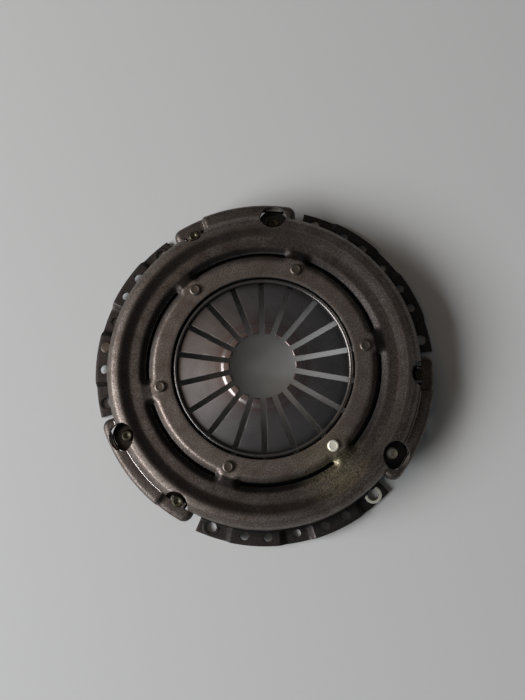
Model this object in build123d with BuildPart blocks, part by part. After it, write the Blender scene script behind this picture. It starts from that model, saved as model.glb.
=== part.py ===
from build123d import *
import math
import os

os.makedirs("parts", exist_ok=True)

# Clutch pressure plate of the push type. All lengths in mm, angles in degrees.
# Z is the clutch axis, pointing from the flywheel to the release bearing.
# Z = 0 is the face that bolts to the flywheel. +X runs through one dowel hole.

# ---------------------------------------------------------------- layout
sectors = 3  # the cover repeats three times round
sheet = 3.5  # thickness of the pressed cover
rest_gap = 0.03  # keeps round wires a hair off the spring
running_gap = 0.65  # least clearance over the plate when it is fully lifted

# ---------------------------------------------------------------- cover radii, bore to rim
cover_bore_r = 72.2
plateau_w = 13.6  # flat land that carries the pivot rivets
bead_fall_w = 4.4  # slope from that land down to the windows
window_w = 3.2
ledge_rise_w = 4.1  # slope from the windows up to the ledge
ledge_w = 8.0
crest_rise_w = 8.0
shoulder_w = 11.9  # crest to the top of the wall
wall_lean = 3.6  # how far the wall leans out on its way down
bolt_land = 5.0  # wall foot to bolt circle
rim_land = 7.0  # bolt circle to the flange's edge
band_w = 10.9  # how far a raised sector stands out past the shoulder
bead_r = cover_bore_r + plateau_w
window_inner_r = bead_r + bead_fall_w
window_outer_r = window_inner_r + window_w
ledge_inner_r = window_outer_r + ledge_rise_w
ledge_outer_r = ledge_inner_r + ledge_w
crest_r = ledge_outer_r + crest_rise_w
shoulder_r = crest_r + shoulder_w
wall_foot_r = shoulder_r + wall_lean
bolt_circle_r = wall_foot_r + bolt_land  # bolts, dowels and balance holes share it
flange_r = bolt_circle_r + rim_land
band_rim_r = shoulder_r + band_w

# ---------------------------------------------------------------- cover heights
ledge_z = 38.0
crest_h = 3.0  # crest above ledge
window_drop = 2.9  # windows below ledge
bead_h = 4.5  # rivet land above the windows
band_z = 30.0  # raised sectors
shoulder_drop = 1.0  # the wall starts this far below the raised sectors
pad_drop = 3.7  # strap pads sunk below the raised sectors
lip_h = 12.0  # turned-down rim of a raised sector
crest_z = ledge_z + crest_h
window_z = ledge_z - window_drop
plateau_z = window_z + bead_h
shoulder_z = band_z - shoulder_drop
pad_z = band_z - pad_drop
band_lip_z = band_z - lip_h

# ---------------------------------------------------------------- flanges
flange_half = 34.5
bolt_hole_d = 9.0
bolt_seat_d = 13.8  # embossed ring round each bolt hole
bolt_seat_h = 0.4
bolt_from_dowel = 30.0
dowel_hole_d = 7.0
balance_hole_d = 7.2
balance_near = 10.0  # balance holes, measured from the dowel
balance_far = 18.0
loaded_balance_hole = 360 / sectors + balance_near
joggle = 4.0  # how far the middle of each flange stands off the flywheel
joggle_run = 4.4  # length of the sloping step
joggle_inner = 5.0  # step beside the dowel pad
joggle_outer = 23.3  # step beside the bolt pad
joggle_r = bolt_circle_r - 1.0  # radius where the step's run is measured

# ---------------------------------------------------------------- raised sectors, windows
raised_mid = 60.0
band_half = 23.0  # raised sector, either side of its middle
band_bend_r = 4.6
pad_from = 10.3  # the sunk pad starts here
corner_r = 7.0  # rounding of each raised sector's ends, seen from above
leg_half = 21.5  # the wall is open below the band this far
lug_punch_r = 11.1  # round punch that opens the shoulder over each plate lug
lug_punch_at_r = shoulder_r - 1.8
punch_r = 10.3  # round punch that opens the shoulder at each strap pad
punch_at_r = shoulder_r + 0.6
punch_floor_z = band_z - 2 * sheet
tongue_r = 6.4  # metal left round the strap rivet
window_after = 7.3  # arc windows start this far after a pivot rivet
window_before = 4.8
bridge_in_r = bead_r - 1.8  # level bridges cross the valley at the rivets
bridge_out_r = ledge_inner_r - 0.5
bridge_spill = 1.0

# ---------------------------------------------------------------- diaphragm spring
spring_t = 2.6
pivot_r = window_inner_r - 2.2  # the cover's bead presses on the spring here
pivot_z = window_z - sheet - rest_gap
finger_rise = math.tan(math.radians(10.5))
outer_fall = math.tan(math.radians(13.0))
spring_reach = 17.5  # the spring runs this far beyond its pivot
spring_r = pivot_r + spring_reach
tip_bore_r = 25.4
tip_crest_r = tip_bore_r + 4.8
tip_bend_r = tip_crest_r + 2.8
tip_step = 1.6
fingers = 18
finger_slot_w = 4.3
root_hole_d = 11.0

# ---------------------------------------------------------------- pivot parts
pivot_rivets = 6
rivet_circle_r = bead_r - 4.15
rivet_head_d = 9.0
rivet_head_h = 2.4
rivet_tenon_d = 5.4
rivet_spacer_d = 7.2
rivet_collar_d = 16.4
rivet_collar_h = 2.4
lower_ring_r = pivot_r - 0.4
lower_ring_d = 4.0
upper_ring_r = cover_bore_r - 3.2
upper_ring_d = 3.0

# ---------------------------------------------------------------- leaf straps
strap_pad_r = shoulder_r - 1.6
pad_rivet_ahead = 16.2  # cover rivet of a strap, ahead of the raised sector's middle
strap_pad_angle = raised_mid + pad_rivet_ahead
strap_w = 15.6
leaf_t = 0.6
leaves = 3
strap_rivet_d = 6.0
strap_hole_clear = 0.1
strap_head_d = 9.4
strap_head_h = 2.7
strap_tail_h = 2.4
strap_top_z = pad_z - sheet
strap_low_z = strap_top_z - leaves * leaf_t

# ---------------------------------------------------------------- pressure plate
plate_travel = 4.2
friction_z = 4.6
plate_bore_r = cover_bore_r + 1.3
plate_r = shoulder_r - 9.9
plate_step_z = strap_low_z - plate_travel - running_gap - 0.15
nose_r = spring_r - 2.5
nose_w = 7.0
plate_step_r = nose_r + nose_w / 2 + 1.1
nose_gaps = 12
nose_gap_w = 9.0
lug_r = shoulder_r - 4.4
lug_behind = 15.0  # plate lug, behind the raised sector's middle
lug_angle = raised_mid - lug_behind
lug_round_r = band_rim_r - sheet - running_gap - lug_r  # fills the opening over the lug
lug_under_z = friction_z + 5.0
lug_z = strap_low_z


def spring_top(r):
    """Height of the spring's upper face at radius r, with the clutch unbolted."""
    if r >= pivot_r:
        return pivot_z - (r - pivot_r) * outer_fall
    return pivot_z + (pivot_r - r) * finger_rise


def spring_under(r):
    """Height of the spring's lower face at radius r."""
    slope = outer_fall if r >= pivot_r else finger_rise
    return spring_top(r) - spring_t * math.hypot(1.0, slope)


def polar(r, angle):
    """A point of the XY plane from a radius and an angle."""
    return (r * math.cos(math.radians(angle)), r * math.sin(math.radians(angle)))


def turned(profile, start, arc):
    """Sweep a closed (radius, height) outline about Z from a start angle."""
    with BuildPart() as piece:
        with BuildSketch(Plane.XZ.rotated((0, 0, start))) as section:
            with BuildLine() as outline:
                Polyline(*profile, close=True)
            make_face()
        revolve(axis=Axis.Z, revolution_arc=arc)
    return piece.part


# ---------------------------------------------------------------- cover, step by step
def dome():
    """The pressed bowl, wall, shoulder, crest, ledge, bead and plateau in one skin."""
    with BuildPart() as bowl:
        with BuildSketch(Plane.XZ) as section:
            with BuildLine() as skin:
                FilletPolyline(
                    (wall_foot_r, sheet),
                    (shoulder_r, shoulder_z),
                    (shoulder_r - 2.2, crest_z - 5.4),
                    (shoulder_r - 6.2, crest_z - 1.2),
                    (crest_r, crest_z),
                    (ledge_outer_r, ledge_z),
                    (ledge_inner_r, ledge_z),
                    (window_outer_r - 0.6, window_z),
                    (window_inner_r - 0.4, window_z),
                    (bead_r, plateau_z),
                    (cover_bore_r, plateau_z),
                    radius=(6, 5, 5, 5, 4, 4, 1.6, 1.6, 4),
                )
                offset(amount=sheet, side=Side.LEFT)
            make_face()
        revolve(axis=Axis.Z)
    return bowl.part


def flange():
    """One bolting flange: two bolt pads, a dowel pad and two raised runs between them."""
    inner = wall_foot_r - sheet * 1.4
    step = math.degrees(joggle_run / 2 / joggle_r)
    low = [(inner, 0), (flange_r, 0), (flange_r, sheet), (inner, sheet)]
    high = [(r, z + joggle) for r, z in low]
    tilt = math.atan2(joggle, joggle_run)
    lean = (sheet / math.cos(tilt) - sheet) * joggle_run / joggle / 2
    half = joggle_run / 2
    with BuildPart() as rim:
        add(turned(low, -joggle_inner + step, 2 * (joggle_inner - step)))
        for side in (1, -1):
            run = joggle_outer - joggle_inner - 2 * step
            end = flange_half - joggle_outer - step
            add(turned(high, side * (joggle_inner + joggle_outer) / 2 - run / 2, run))
            add(turned(low, side * (joggle_outer + flange_half + step) / 2 - end / 2, end))
        for angle, way in (
            (joggle_inner, 1),
            (joggle_outer, -1),
            (-joggle_inner, -1),
            (-joggle_outer, 1),
        ):
            ramp_plane = Plane((0, 0, 0), x_dir=(0, 1, 0), z_dir=(1, 0, 0)).rotated((0, 0, angle))
            with BuildSketch(ramp_plane.offset(inner + 0.4)) as ramp:
                with BuildLine() as ramp_outline:
                    Polyline(
                        (way * (-half - lean), 0),
                        (way * (-half + lean), 0),
                        (way * (half + lean), joggle),
                        (way * (half + lean), joggle + sheet),
                        (way * (half - lean), joggle + sheet),
                        (way * (-half - lean), sheet),
                        close=True,
                    )
                make_face()
            extrude(amount=flange_r - inner + 4)
        with BuildSketch() as outer_edge:
            Circle(flange_r)
        extrude(amount=sheet + joggle, mode=Mode.INTERSECT)
        # dowel hole on the middle pad, balance holes on the raised runs
        with PolarLocations(bolt_circle_r, 1):
            Hole(dowel_hole_d / 2)
        for angle in (balance_near, balance_far, -balance_near, -balance_far):
            with PolarLocations(bolt_circle_r, 1, start_angle=angle):
                Hole(balance_hole_d / 2)
        # bolt holes with an embossed seat
        for angle in (-bolt_from_dowel, bolt_from_dowel):
            with BuildSketch(Plane.XY.offset(sheet - 0.2)) as seat:
                with PolarLocations(bolt_circle_r, 1, start_angle=angle):
                    Circle(bolt_seat_d / 2)
            extrude(amount=bolt_seat_h + 0.2)
            with PolarLocations(bolt_circle_r, 1, start_angle=angle):
                Hole(bolt_hole_d / 2)
    return rim.part


def raised_band():
    """One raised sector: band with a turned-down rim, and the sunk pad for the strap."""
    inner = shoulder_r - sheet * 0.6
    band = raised_mid - band_half
    with BuildPart() as shelf:
        for top, start, end in (
            (band_z, band, raised_mid + pad_from),
            (pad_z, raised_mid + pad_from, raised_mid + band_half),
        ):
            with BuildSketch(Plane.XZ.rotated((0, 0, start))) as section:
                with BuildLine() as skin:
                    FilletPolyline(
                        (band_rim_r, band_lip_z), (band_rim_r, top), (inner, top), radius=band_bend_r
                    )
                    offset(amount=sheet, side=Side.LEFT)
                make_face()
            revolve(axis=Axis.Z, revolution_arc=end - start)
        # the step between band and pad
        with BuildSketch(Plane.XZ.rotated((0, 0, raised_mid + pad_from - 0.8))) as riser:
            with BuildLine() as riser_outline:
                FilletPolyline(
                    (inner, strap_top_z),
                    (band_rim_r - sheet, strap_top_z),
                    (band_rim_r - sheet, band_lip_z),
                    (band_rim_r, band_lip_z),
                    (band_rim_r, band_z),
                    (inner, band_z),
                    radius=(0, 0, 0, band_bend_r),
                )
                Line((inner, band_z), (inner, strap_top_z))
            make_face()
        revolve(axis=Axis.Z, revolution_arc=1.6)
        # rounded corners at both ends, seen from above
        with BuildSketch(Plane.XY) as plan:
            with BuildLine() as plan_outline:
                first, last = band, raised_mid + band_half
                rim = CenterArc((0, 0), band_rim_r + 0.5, first, last - first)
                root = CenterArc((0, 0), inner - 1, first, last - first)
                Line(rim @ 0, root @ 0)
                Line(rim @ 1, root @ 1)
            make_face()
            fillet(plan.vertices().sort_by_distance((0, 0))[-2:], corner_r)
        extrude(amount=crest_z, mode=Mode.INTERSECT)
    return shelf.part


def cover():
    """The whole pressing: bowl, three flanges, three raised sectors, then the holes."""
    with BuildPart() as pressing:
        add(dome())
        # open the wall below each raised sector, where lugs and straps stand
        for start, end, top in (
            (raised_mid - leg_half, raised_mid + pad_from, band_z - sheet),
            (raised_mid + pad_from, raised_mid + leg_half, pad_z - sheet),
        ):
            gap = [(shoulder_r - 8, -1), (flange_r, -1), (flange_r, top), (shoulder_r - 8, top)]
            with PolarLocations(0, sectors):
                add(turned(gap, start, end - start), mode=Mode.SUBTRACT)
        with PolarLocations(0, sectors):
            add(flange())
        with PolarLocations(0, sectors):
            add(raised_band())
        # socket relief in the wall beside each bolt seat
        with BuildSketch(Plane.XY.offset(sheet + bolt_seat_h)) as relief:
            with PolarLocations(bolt_circle_r, 6, start_angle=bolt_from_dowel):
                Circle(bolt_seat_d / 2)
        extrude(amount=16, mode=Mode.SUBTRACT)
        # level bridges over the valley, one at each pivot rivet
        span = [
            (bridge_in_r, plateau_z - sheet),
            (bridge_in_r, plateau_z),
            (bead_r + 1.0, plateau_z),
            (bridge_out_r, ledge_z),
            (bridge_out_r, ledge_z - sheet),
            (bead_r + 1.0, plateau_z - sheet),
        ]
        bridge_arc = window_before + window_after + 2 * bridge_spill
        bridge_start = bolt_from_dowel - window_before - bridge_spill
        with PolarLocations(0, pivot_rivets):
            add(turned(span, bridge_start, bridge_arc))
        # arc windows between the pivot rivets
        window_arc = 360 / pivot_rivets - window_after - window_before
        mid_r = (window_inner_r + window_outer_r) / 2
        with BuildSketch(Plane.XY.offset(window_z - 8)) as windows:
            with PolarLocations(0, pivot_rivets, start_angle=bolt_from_dowel + window_after):
                SlotArc(
                    CenterArc((0, 0), mid_r, 0, window_arc),
                    window_outer_r - window_inner_r,
                )
        extrude(amount=14, mode=Mode.SUBTRACT)
        # round punch over each plate lug, stopped above the lower part of the lip
        with BuildSketch(Plane.XY.offset(punch_floor_z)) as lug_punch:
            with PolarLocations(lug_punch_at_r, sectors, start_angle=lug_angle):
                Circle(lug_punch_r)
        extrude(amount=crest_z, mode=Mode.SUBTRACT)
        # the punch at the pad end: clear above the pad, a crescent through it
        with BuildSketch(Plane.XY.offset(pad_z)) as pad_punch:
            with PolarLocations(punch_at_r, sectors, start_angle=strap_pad_angle):
                Circle(punch_r)
        extrude(amount=crest_z, mode=Mode.SUBTRACT)
        with BuildSketch(Plane.XY.offset(strap_top_z - 1)) as crescent:
            with PolarLocations(punch_at_r, sectors, start_angle=strap_pad_angle):
                Circle(punch_r)
            with PolarLocations(strap_pad_r, sectors, start_angle=strap_pad_angle):
                Circle(tongue_r, mode=Mode.SUBTRACT)
            with PolarLocations(punch_at_r + punch_r, sectors, start_angle=strap_pad_angle):
                Rectangle(2 * punch_r, 3 * punch_r, mode=Mode.SUBTRACT)
        extrude(amount=8, mode=Mode.SUBTRACT)
        # rivet holes in the pads and in the plateau
        with PolarLocations(strap_pad_r, sectors, start_angle=strap_pad_angle):
            Hole(strap_rivet_d / 2)
        with PolarLocations(rivet_circle_r, pivot_rivets, start_angle=bolt_from_dowel):
            Hole(rivet_tenon_d / 2)
    return pressing.part


# ---------------------------------------------------------------- pressure plate
def pressure_plate():
    """Cast ring with a flat friction face, a broken nose ring and three strap lugs."""
    nose_z = spring_under(nose_r)
    plate_top_z = collar_under_z() - plate_travel - running_gap
    with BuildPart() as casting:
        with BuildSketch(Plane.XZ) as section:
            with BuildLine() as outline:
                Polyline(
                    (plate_bore_r, friction_z),
                    (plate_r, friction_z),
                    (plate_r, plate_step_z),
                    (plate_step_r, plate_step_z),
                    (plate_step_r, plate_top_z),
                    (plate_bore_r, plate_top_z),
                    close=True,
                )
            make_face()
        revolve(axis=Axis.Z)
        chamfer(casting.edges().sort_by(Axis.Z)[0:2], 0.8)
        # nose ring that the spring presses on, broken for air to pass
        with BuildSketch(Plane.XZ) as nose_section:
            with BuildLine() as nose_outline:
                Polyline(
                    (nose_r - nose_w / 2, plate_top_z - 1),
                    (nose_r + nose_w / 2, plate_top_z - 1),
                    (nose_r + nose_w / 2 - 1.2, nose_z - 1.6),
                    (nose_r + 1.2, nose_z - 0.28),
                    (nose_r - 0.6, nose_z - rest_gap),
                    (nose_r - nose_w / 2 + 1.2, nose_z - 1.2),
                    close=True,
                )
            make_face()
        revolve(axis=Axis.Z)
        with BuildSketch(Plane.XY.offset(plate_top_z + 1.2)) as air_gaps:
            with PolarLocations(nose_r, nose_gaps, start_angle=360 / nose_gaps / 2):
                Rectangle(nose_w * 2, nose_gap_w)
        extrude(amount=12, mode=Mode.SUBTRACT)
        # lugs
        with BuildSketch(Plane.XY.offset(lug_under_z)) as lugs:
            with PolarLocations(lug_r, sectors, start_angle=lug_angle):
                Circle(lug_round_r)
            with PolarLocations(lug_r - 6, sectors, start_angle=lug_angle):
                Rectangle(12, 2 * lug_round_r)
        extrude(amount=lug_z - lug_under_z)
        with PolarLocations(lug_r, sectors, start_angle=lug_angle):
            Hole(strap_rivet_d / 2)
    return casting.part


# ---------------------------------------------------------------- spring and pivot parts
def diaphragm_spring():
    """Coned spring-steel disc with eighteen fingers and bent, worn tips."""
    slope = math.hypot(1.0, finger_rise)
    with BuildPart() as disc:
        with BuildSketch(Plane.XZ) as section:
            with BuildLine() as outline:
                Polyline(
                    (spring_r, spring_top(spring_r)),
                    (pivot_r, pivot_z),
                    (tip_bend_r, spring_top(tip_bend_r)),
                    (tip_crest_r, spring_top(tip_crest_r) + tip_step),
                    (tip_bore_r, spring_top(tip_crest_r) + tip_step - 0.2),
                    (tip_bore_r, spring_top(tip_crest_r) + tip_step - 0.2 - spring_t),
                    (tip_crest_r + 0.6, spring_top(tip_crest_r) + tip_step - spring_t),
                    (tip_bend_r + 0.8, spring_under(tip_bend_r + 0.8)),
                    (pivot_r, pivot_z - spring_t * slope),
                    (spring_r, spring_under(spring_r)),
                    close=True,
                )
            make_face()
        revolve(axis=Axis.Z)
        first = 180 / fingers
        with BuildSketch() as slots:
            with PolarLocations(rivet_circle_r / 2, fingers, start_angle=first):
                Rectangle(rivet_circle_r, finger_slot_w)
            with PolarLocations(rivet_circle_r, fingers, start_angle=first):
                Circle(root_hole_d / 2)
            Circle(tip_bore_r)
        extrude(amount=60, mode=Mode.SUBTRACT)
    return disc.part


def wire_ring(radius, wire_d, height):
    """A closed ring of round wire."""
    with BuildPart() as ring:
        with BuildSketch(Plane.XZ) as section:
            with Locations((radius, height)):
                Circle(wire_d / 2)
        revolve(axis=Axis.Z)
    return ring.part


def upper_ring_height():
    """The upper wire lies on the fingers, just inside the cover's bore."""
    tilt = math.atan(finger_rise)
    touch = upper_ring_r - upper_ring_d / 2 * math.sin(tilt)
    return spring_top(touch) + upper_ring_d / 2 * math.cos(tilt) + rest_gap


def lower_ring_height():
    """The lower wire carries the spring from below, on the rivet collars."""
    tilt = math.atan(finger_rise)
    touch = lower_ring_r + lower_ring_d / 2 * math.sin(tilt)
    height = spring_under(touch) - lower_ring_d / 2 * math.cos(tilt)
    return height - 3 * rest_gap


def collar_under_z():
    """Underside of the pivot rivets' collars, which carry the lower wire."""
    return lower_ring_height() - lower_ring_d / 2 - rest_gap - rivet_collar_h


def pivot_rivet(index):
    """Shouldered rivet: head on the plateau, spacer through the spring, collar below."""
    collar_z = collar_under_z() + rivet_collar_h
    angle = bolt_from_dowel + index * 360 / pivot_rivets
    with BuildPart() as rivet:
        with BuildSketch(Plane.XZ) as section:
            with BuildLine() as outline:
                Polyline(
                    (0, collar_z - rivet_collar_h),
                    (rivet_collar_d / 2 - 0.5, collar_z - rivet_collar_h),
                    (rivet_collar_d / 2, collar_z - rivet_collar_h + 0.5),
                    (rivet_collar_d / 2, collar_z),
                    (rivet_spacer_d / 2, collar_z),
                    (rivet_spacer_d / 2, plateau_z - sheet - 2.8),
                    (rivet_tenon_d / 2 + 0.1, plateau_z - sheet),
                    (rivet_tenon_d / 2, plateau_z - sheet),
                    (rivet_tenon_d / 2, plateau_z),
                    (rivet_head_d / 2, plateau_z),
                    (rivet_head_d / 2, plateau_z + 1.2),
                    (rivet_head_d / 2 - 1.2, plateau_z + rivet_head_h),
                    (0, plateau_z + rivet_head_h),
                    close=True,
                )
            make_face()
        revolve(axis=Axis.Z)
    return Pos(*polar(rivet_circle_r, angle), 0) * rivet.part


# ---------------------------------------------------------------- straps and their rivets
def strap_leaf(sector, layer):
    """One spring-steel leaf between a cover pad and a plate lug."""
    turn = sector * 360 / sectors
    lug_end = Vector(*polar(lug_r, lug_angle + turn))
    pad_end = Vector(*polar(strap_pad_r, strap_pad_angle + turn))
    middle = (lug_end + pad_end) * 0.5
    span = (pad_end - lug_end).length
    heading = math.degrees(math.atan2(pad_end.Y - lug_end.Y, pad_end.X - lug_end.X))
    with BuildPart() as leaf:
        with BuildSketch(Plane.XY.offset(strap_low_z + layer * leaf_t)) as blank:
            with Locations(Location((middle.X, middle.Y), heading)):
                SlotCenterToCenter(span, strap_w)
            with Locations((lug_end.X, lug_end.Y), (pad_end.X, pad_end.Y)):
                Circle(strap_rivet_d / 2 + strap_hole_clear, mode=Mode.SUBTRACT)
        extrude(amount=leaf_t)
    return leaf.part


def strap_rivet(radius, angle, head_z, tail_z):
    """Rivet with a domed head above head_z and a flat tail below tail_z."""
    r = strap_head_d / 2
    with BuildPart() as rivet:
        with BuildSketch(Plane.XZ) as section:
            with BuildLine() as outline:
                Polyline(
                    (0, head_z + strap_head_h),
                    (0, tail_z - strap_tail_h),
                    (r - 0.6, tail_z - strap_tail_h),
                    (r, tail_z - strap_tail_h + 0.6),
                    (r, tail_z),
                    (strap_rivet_d / 2, tail_z),
                    (strap_rivet_d / 2, head_z),
                    (r, head_z),
                    (r, head_z + 1.0),
                    (r - 1.0, head_z + strap_head_h - 0.5),
                    (r - 2.2, head_z + strap_head_h),
                    close=True,
                )
            make_face()
        revolve(axis=Axis.Z)
    return Pos(*polar(radius, angle), 0) * rivet.part


def balance_rivet():
    """Plug riveted into one balance hole."""
    low, high = joggle, joggle + sheet
    shank = balance_hole_d / 2 - 0.1
    with BuildPart() as plug:
        with BuildSketch(Plane.XZ) as section:
            with BuildLine() as outline:
                Polyline(
                    (0, low - 1.4),
                    (shank + 0.6, low - 1.4),
                    (shank + 1.2, low - 0.8),
                    (shank + 1.2, low),
                    (shank, low),
                    (shank, high),
                    (shank + 1.2, high),
                    (shank + 1.2, high + 0.6),
                    (shank + 0.2, high + 1.4),
                    (0, high + 1.4),
                    close=True,
                )
            make_face()
        revolve(axis=Axis.Z)
    return Pos(*polar(bolt_circle_r, loaded_balance_hole), 0) * plug.part


# ---------------------------------------------------------------- write one file per piece
def save(shape, name):
    """Label a piece and write it out."""
    shape.label = name
    export_step(shape, f"parts/{name}.step")


save(cover(), "cover")
save(pressure_plate(), "pressure_plate")
save(diaphragm_spring(), "diaphragm_spring")
save(wire_ring(upper_ring_r, upper_ring_d, upper_ring_height()), "upper_wire_ring")
save(wire_ring(lower_ring_r, lower_ring_d, lower_ring_height()), "lower_pivot_ring")
for index in range(pivot_rivets):
    save(pivot_rivet(index), f"pivot_rivet_{index + 1}")
for sector in range(sectors):
    for layer in range(leaves):
        save(strap_leaf(sector, layer), f"strap_{sector + 1}_leaf_{layer + 1}")
    turn = sector * 360 / sectors
    save(
        strap_rivet(strap_pad_r, strap_pad_angle + turn, pad_z, strap_low_z),
        f"strap_{sector + 1}_cover_rivet",
    )
    save(
        strap_rivet(lug_r, lug_angle + turn, strap_top_z, lug_under_z),
        f"strap_{sector + 1}_plate_rivet",
    )
save(balance_rivet(), "balance_rivet")
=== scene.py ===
# %% [markdown]
# # Dressing a clutch pressure plate
# The part is a push-type clutch pressure plate lying on a table with its release side up.
# The CAD model gives every piece its real size and place. This lesson loads it as a fixed
# frame, rebuilds the pieces that the eye lingers on as smooth meshes, and gives each one a
# finish made of nodes. We work in metres, but most sizes of pressed parts are told in
# millimetres, so one constant converts them.

# %% Load the frame
import math

import bmesh
import bpy
from mathutils import Matrix, Vector


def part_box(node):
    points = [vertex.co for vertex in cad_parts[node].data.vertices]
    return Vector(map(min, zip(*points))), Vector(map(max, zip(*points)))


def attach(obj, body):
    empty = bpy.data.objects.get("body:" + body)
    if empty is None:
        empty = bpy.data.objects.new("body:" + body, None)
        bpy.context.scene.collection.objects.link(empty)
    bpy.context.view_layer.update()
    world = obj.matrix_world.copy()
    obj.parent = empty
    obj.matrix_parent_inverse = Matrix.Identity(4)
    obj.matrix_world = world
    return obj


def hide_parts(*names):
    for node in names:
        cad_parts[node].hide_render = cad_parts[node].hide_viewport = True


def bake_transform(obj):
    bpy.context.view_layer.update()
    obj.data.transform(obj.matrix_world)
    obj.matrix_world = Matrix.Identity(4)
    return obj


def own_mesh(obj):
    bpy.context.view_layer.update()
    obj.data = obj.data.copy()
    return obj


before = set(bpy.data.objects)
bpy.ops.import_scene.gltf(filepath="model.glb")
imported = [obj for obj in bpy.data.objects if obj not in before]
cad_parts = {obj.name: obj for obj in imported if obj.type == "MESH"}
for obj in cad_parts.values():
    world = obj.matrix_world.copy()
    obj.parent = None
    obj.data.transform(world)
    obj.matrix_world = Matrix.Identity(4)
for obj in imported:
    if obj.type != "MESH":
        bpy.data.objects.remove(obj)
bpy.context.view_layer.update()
MM = 0.001

# %% [markdown]
# ## Reading sizes off the frame
# A piece that replaces a CAD node has to stay where the node is. The part repeats
# itself: three flanges and sectors, six rivets and windows.

# %% Heights and radii shared by several pieces
def high_z(node):
    """Top of a CAD node, in mm."""
    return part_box(node)[1][2] / MM


def low_z(node):
    """Underside of a CAD node, in mm."""
    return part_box(node)[0][2] / MM


def middle(node):
    """Middle of a CAD node's box, in mm."""
    low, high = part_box(node)
    return [(a + b) / 2 / MM for a, b in zip(low, high)]


SHEET = 3.5
CREST_Z = high_z("cover") + 0.2  # the rounded crest lies a little under its corner
LEDGE_Z = CREST_Z - 3.0
WINDOW_Z = LEDGE_Z - 2.9
PLATEAU_Z = WINDOW_Z + 4.5
BAND_Z = 30.0
PAD_Z = BAND_Z - 3.7
LIP_Z = BAND_Z - 12.0
SHOULDER_Z = BAND_Z - 1.0
SECTORS, RIVETS = 3, 6
SECTOR, PITCH = 360 // SECTORS, 360 // RIVETS
print("crest", round(CREST_Z, 2), "plateau", round(PLATEAU_Z, 2), "mm")

# %% [markdown]
# ## Small tools for meshes
# Every new piece starts as a bmesh: a few vertices or a `create_` shape that operators
# then spin, extrude, bevel or cut. `finish_mesh` welds doubles, turns the faces outwards
# and makes an object that sits at the origin, as the CAD nodes do. Places on a round part
# are told as a radius and an angle, so two helpers go to and fro.

# %% Finishing a mesh, and places by radius and angle
CREASE = math.radians(32)


def smooth(mesh):
    """Shade a mesh smooth and keep its creases sharp."""
    mesh.shade_smooth()
    mesh.set_sharp_from_angle(angle=CREASE)


def finish_mesh(bm, name, weld=True):
    """Turn a bmesh into an object at the origin with smooth faces and sharp creases."""
    if weld:
        bmesh.ops.remove_doubles(bm, verts=bm.verts, dist=1e-7)
        bmesh.ops.recalc_face_normals(bm, faces=bm.faces)
    mesh = bpy.data.meshes.new(name)
    bm.to_mesh(mesh)
    bm.free()
    smooth(mesh)
    piece = bpy.data.objects.new(name, mesh)
    bpy.context.scene.collection.objects.link(piece)
    return piece


def give(piece, *finishes):
    """Put finishes in a piece's material slots."""
    for finish in finishes:
        piece.data.materials.append(finish)


def pour(part, bm):
    """Add one bmesh to another and throw the first away."""
    mesh = bpy.data.meshes.new("poured")
    part.to_mesh(mesh)
    part.free()
    bm.from_mesh(mesh)
    bpy.data.meshes.remove(mesh)


def at_polar(r, angle, z=0.0):
    """A point in metres from a radius and height in mm and an angle in degrees."""
    turn = math.radians(angle)
    return Vector((r * math.cos(turn), r * math.sin(turn), z)) * MM


def polar(point):
    """The radius in mm and the angle in degrees of a point in metres."""
    return point.xy.length / MM, math.degrees(math.atan2(point.y, point.x))


# %% [markdown]
# Pressed and turned parts are drawn as a section: an outline with rounded corners, in
# radius and height, that is spun about the clutch axis.

# %% Outlines and spinning
def rounded(points, radii, arc_step=12.0, run_step=3.0):
    """An open outline in mm with its inner corners rounded and its long runs divided."""
    corners = [Vector(p) for p in points]
    path = [corners[0]]
    for before, corner, after, radius in zip(corners, corners[1:], corners[2:], radii):
        a, b = (before - corner).normalized(), (after - corner).normalized()
        turn = math.pi - a.angle(b)
        if radius <= 0 or turn < 1e-3:
            path.append(corner)
            continue
        reach = radius * math.tan(turn / 2)
        centre = corner + (a + b).normalized() * radius / math.cos(turn / 2)
        first, last = corner + a * reach - centre, corner + b * reach - centre
        steps = max(2, math.ceil(math.degrees(turn) / arc_step))
        swing = first.angle_signed(last)
        for k in range(steps + 1):
            path.append(centre + Matrix.Rotation(-swing * k / steps, 2) @ first)
    path.append(corners[-1])
    divided = [path[0]]
    for start, end in zip(path, path[1:]):
        parts = max(1, math.ceil((end - start).length / run_step))
        divided += [start.lerp(end, k / parts) for k in range(1, parts + 1)]
    return divided


def round_section(r, z, radius, points):
    """A circle of points in mm, the section of a wire or a bead."""
    turns = [math.radians(360 / points * k) for k in range(points)]
    return [(r + radius * math.cos(t), z + radius * math.sin(t)) for t in turns]


def spin_outline(bm, outline, steps, start=0.0, arc=360.0, closed=False):
    """Turn an outline of (radius, height) points in mm about the clutch axis."""
    around = Matrix.Rotation(math.radians(start), 3, "Z")
    verts = [bm.verts.new(around @ Vector((r * MM, 0, z * MM))) for r, z in outline]
    pairs = list(zip(verts, verts[1:])) + ([(verts[-1], verts[0])] if closed else [])
    edges = [bm.edges.new(pair) for pair in pairs]
    bmesh.ops.spin(
        bm,
        geom=verts + edges,
        cent=(0, 0, 0),
        axis=(0, 0, 1),
        dvec=(0, 0, 0),
        angle=math.radians(arc),
        steps=steps,
        use_merge=arc >= 360,
        use_duplicate=False,
    )


# %% [markdown]
# Holes are cut the way a press cuts them, with a punch. The exact solver of the Boolean
# modifier leaves clean walls, and `TRANSFER` keeps the punch's own material on them.

# %% Posts and cuts
def post(bm, r, angle, radius, bottom, top, segments):
    """An upright cylinder, as a cutter or a boss."""
    place = Matrix.Translation(at_polar(r, angle, (bottom + top) / 2))
    bmesh.ops.create_cone(
        bm,
        cap_ends=True,
        segments=segments,
        radius1=radius * MM,
        radius2=radius * MM,
        depth=(top - bottom) * MM,
        matrix=place,
    )


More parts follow.
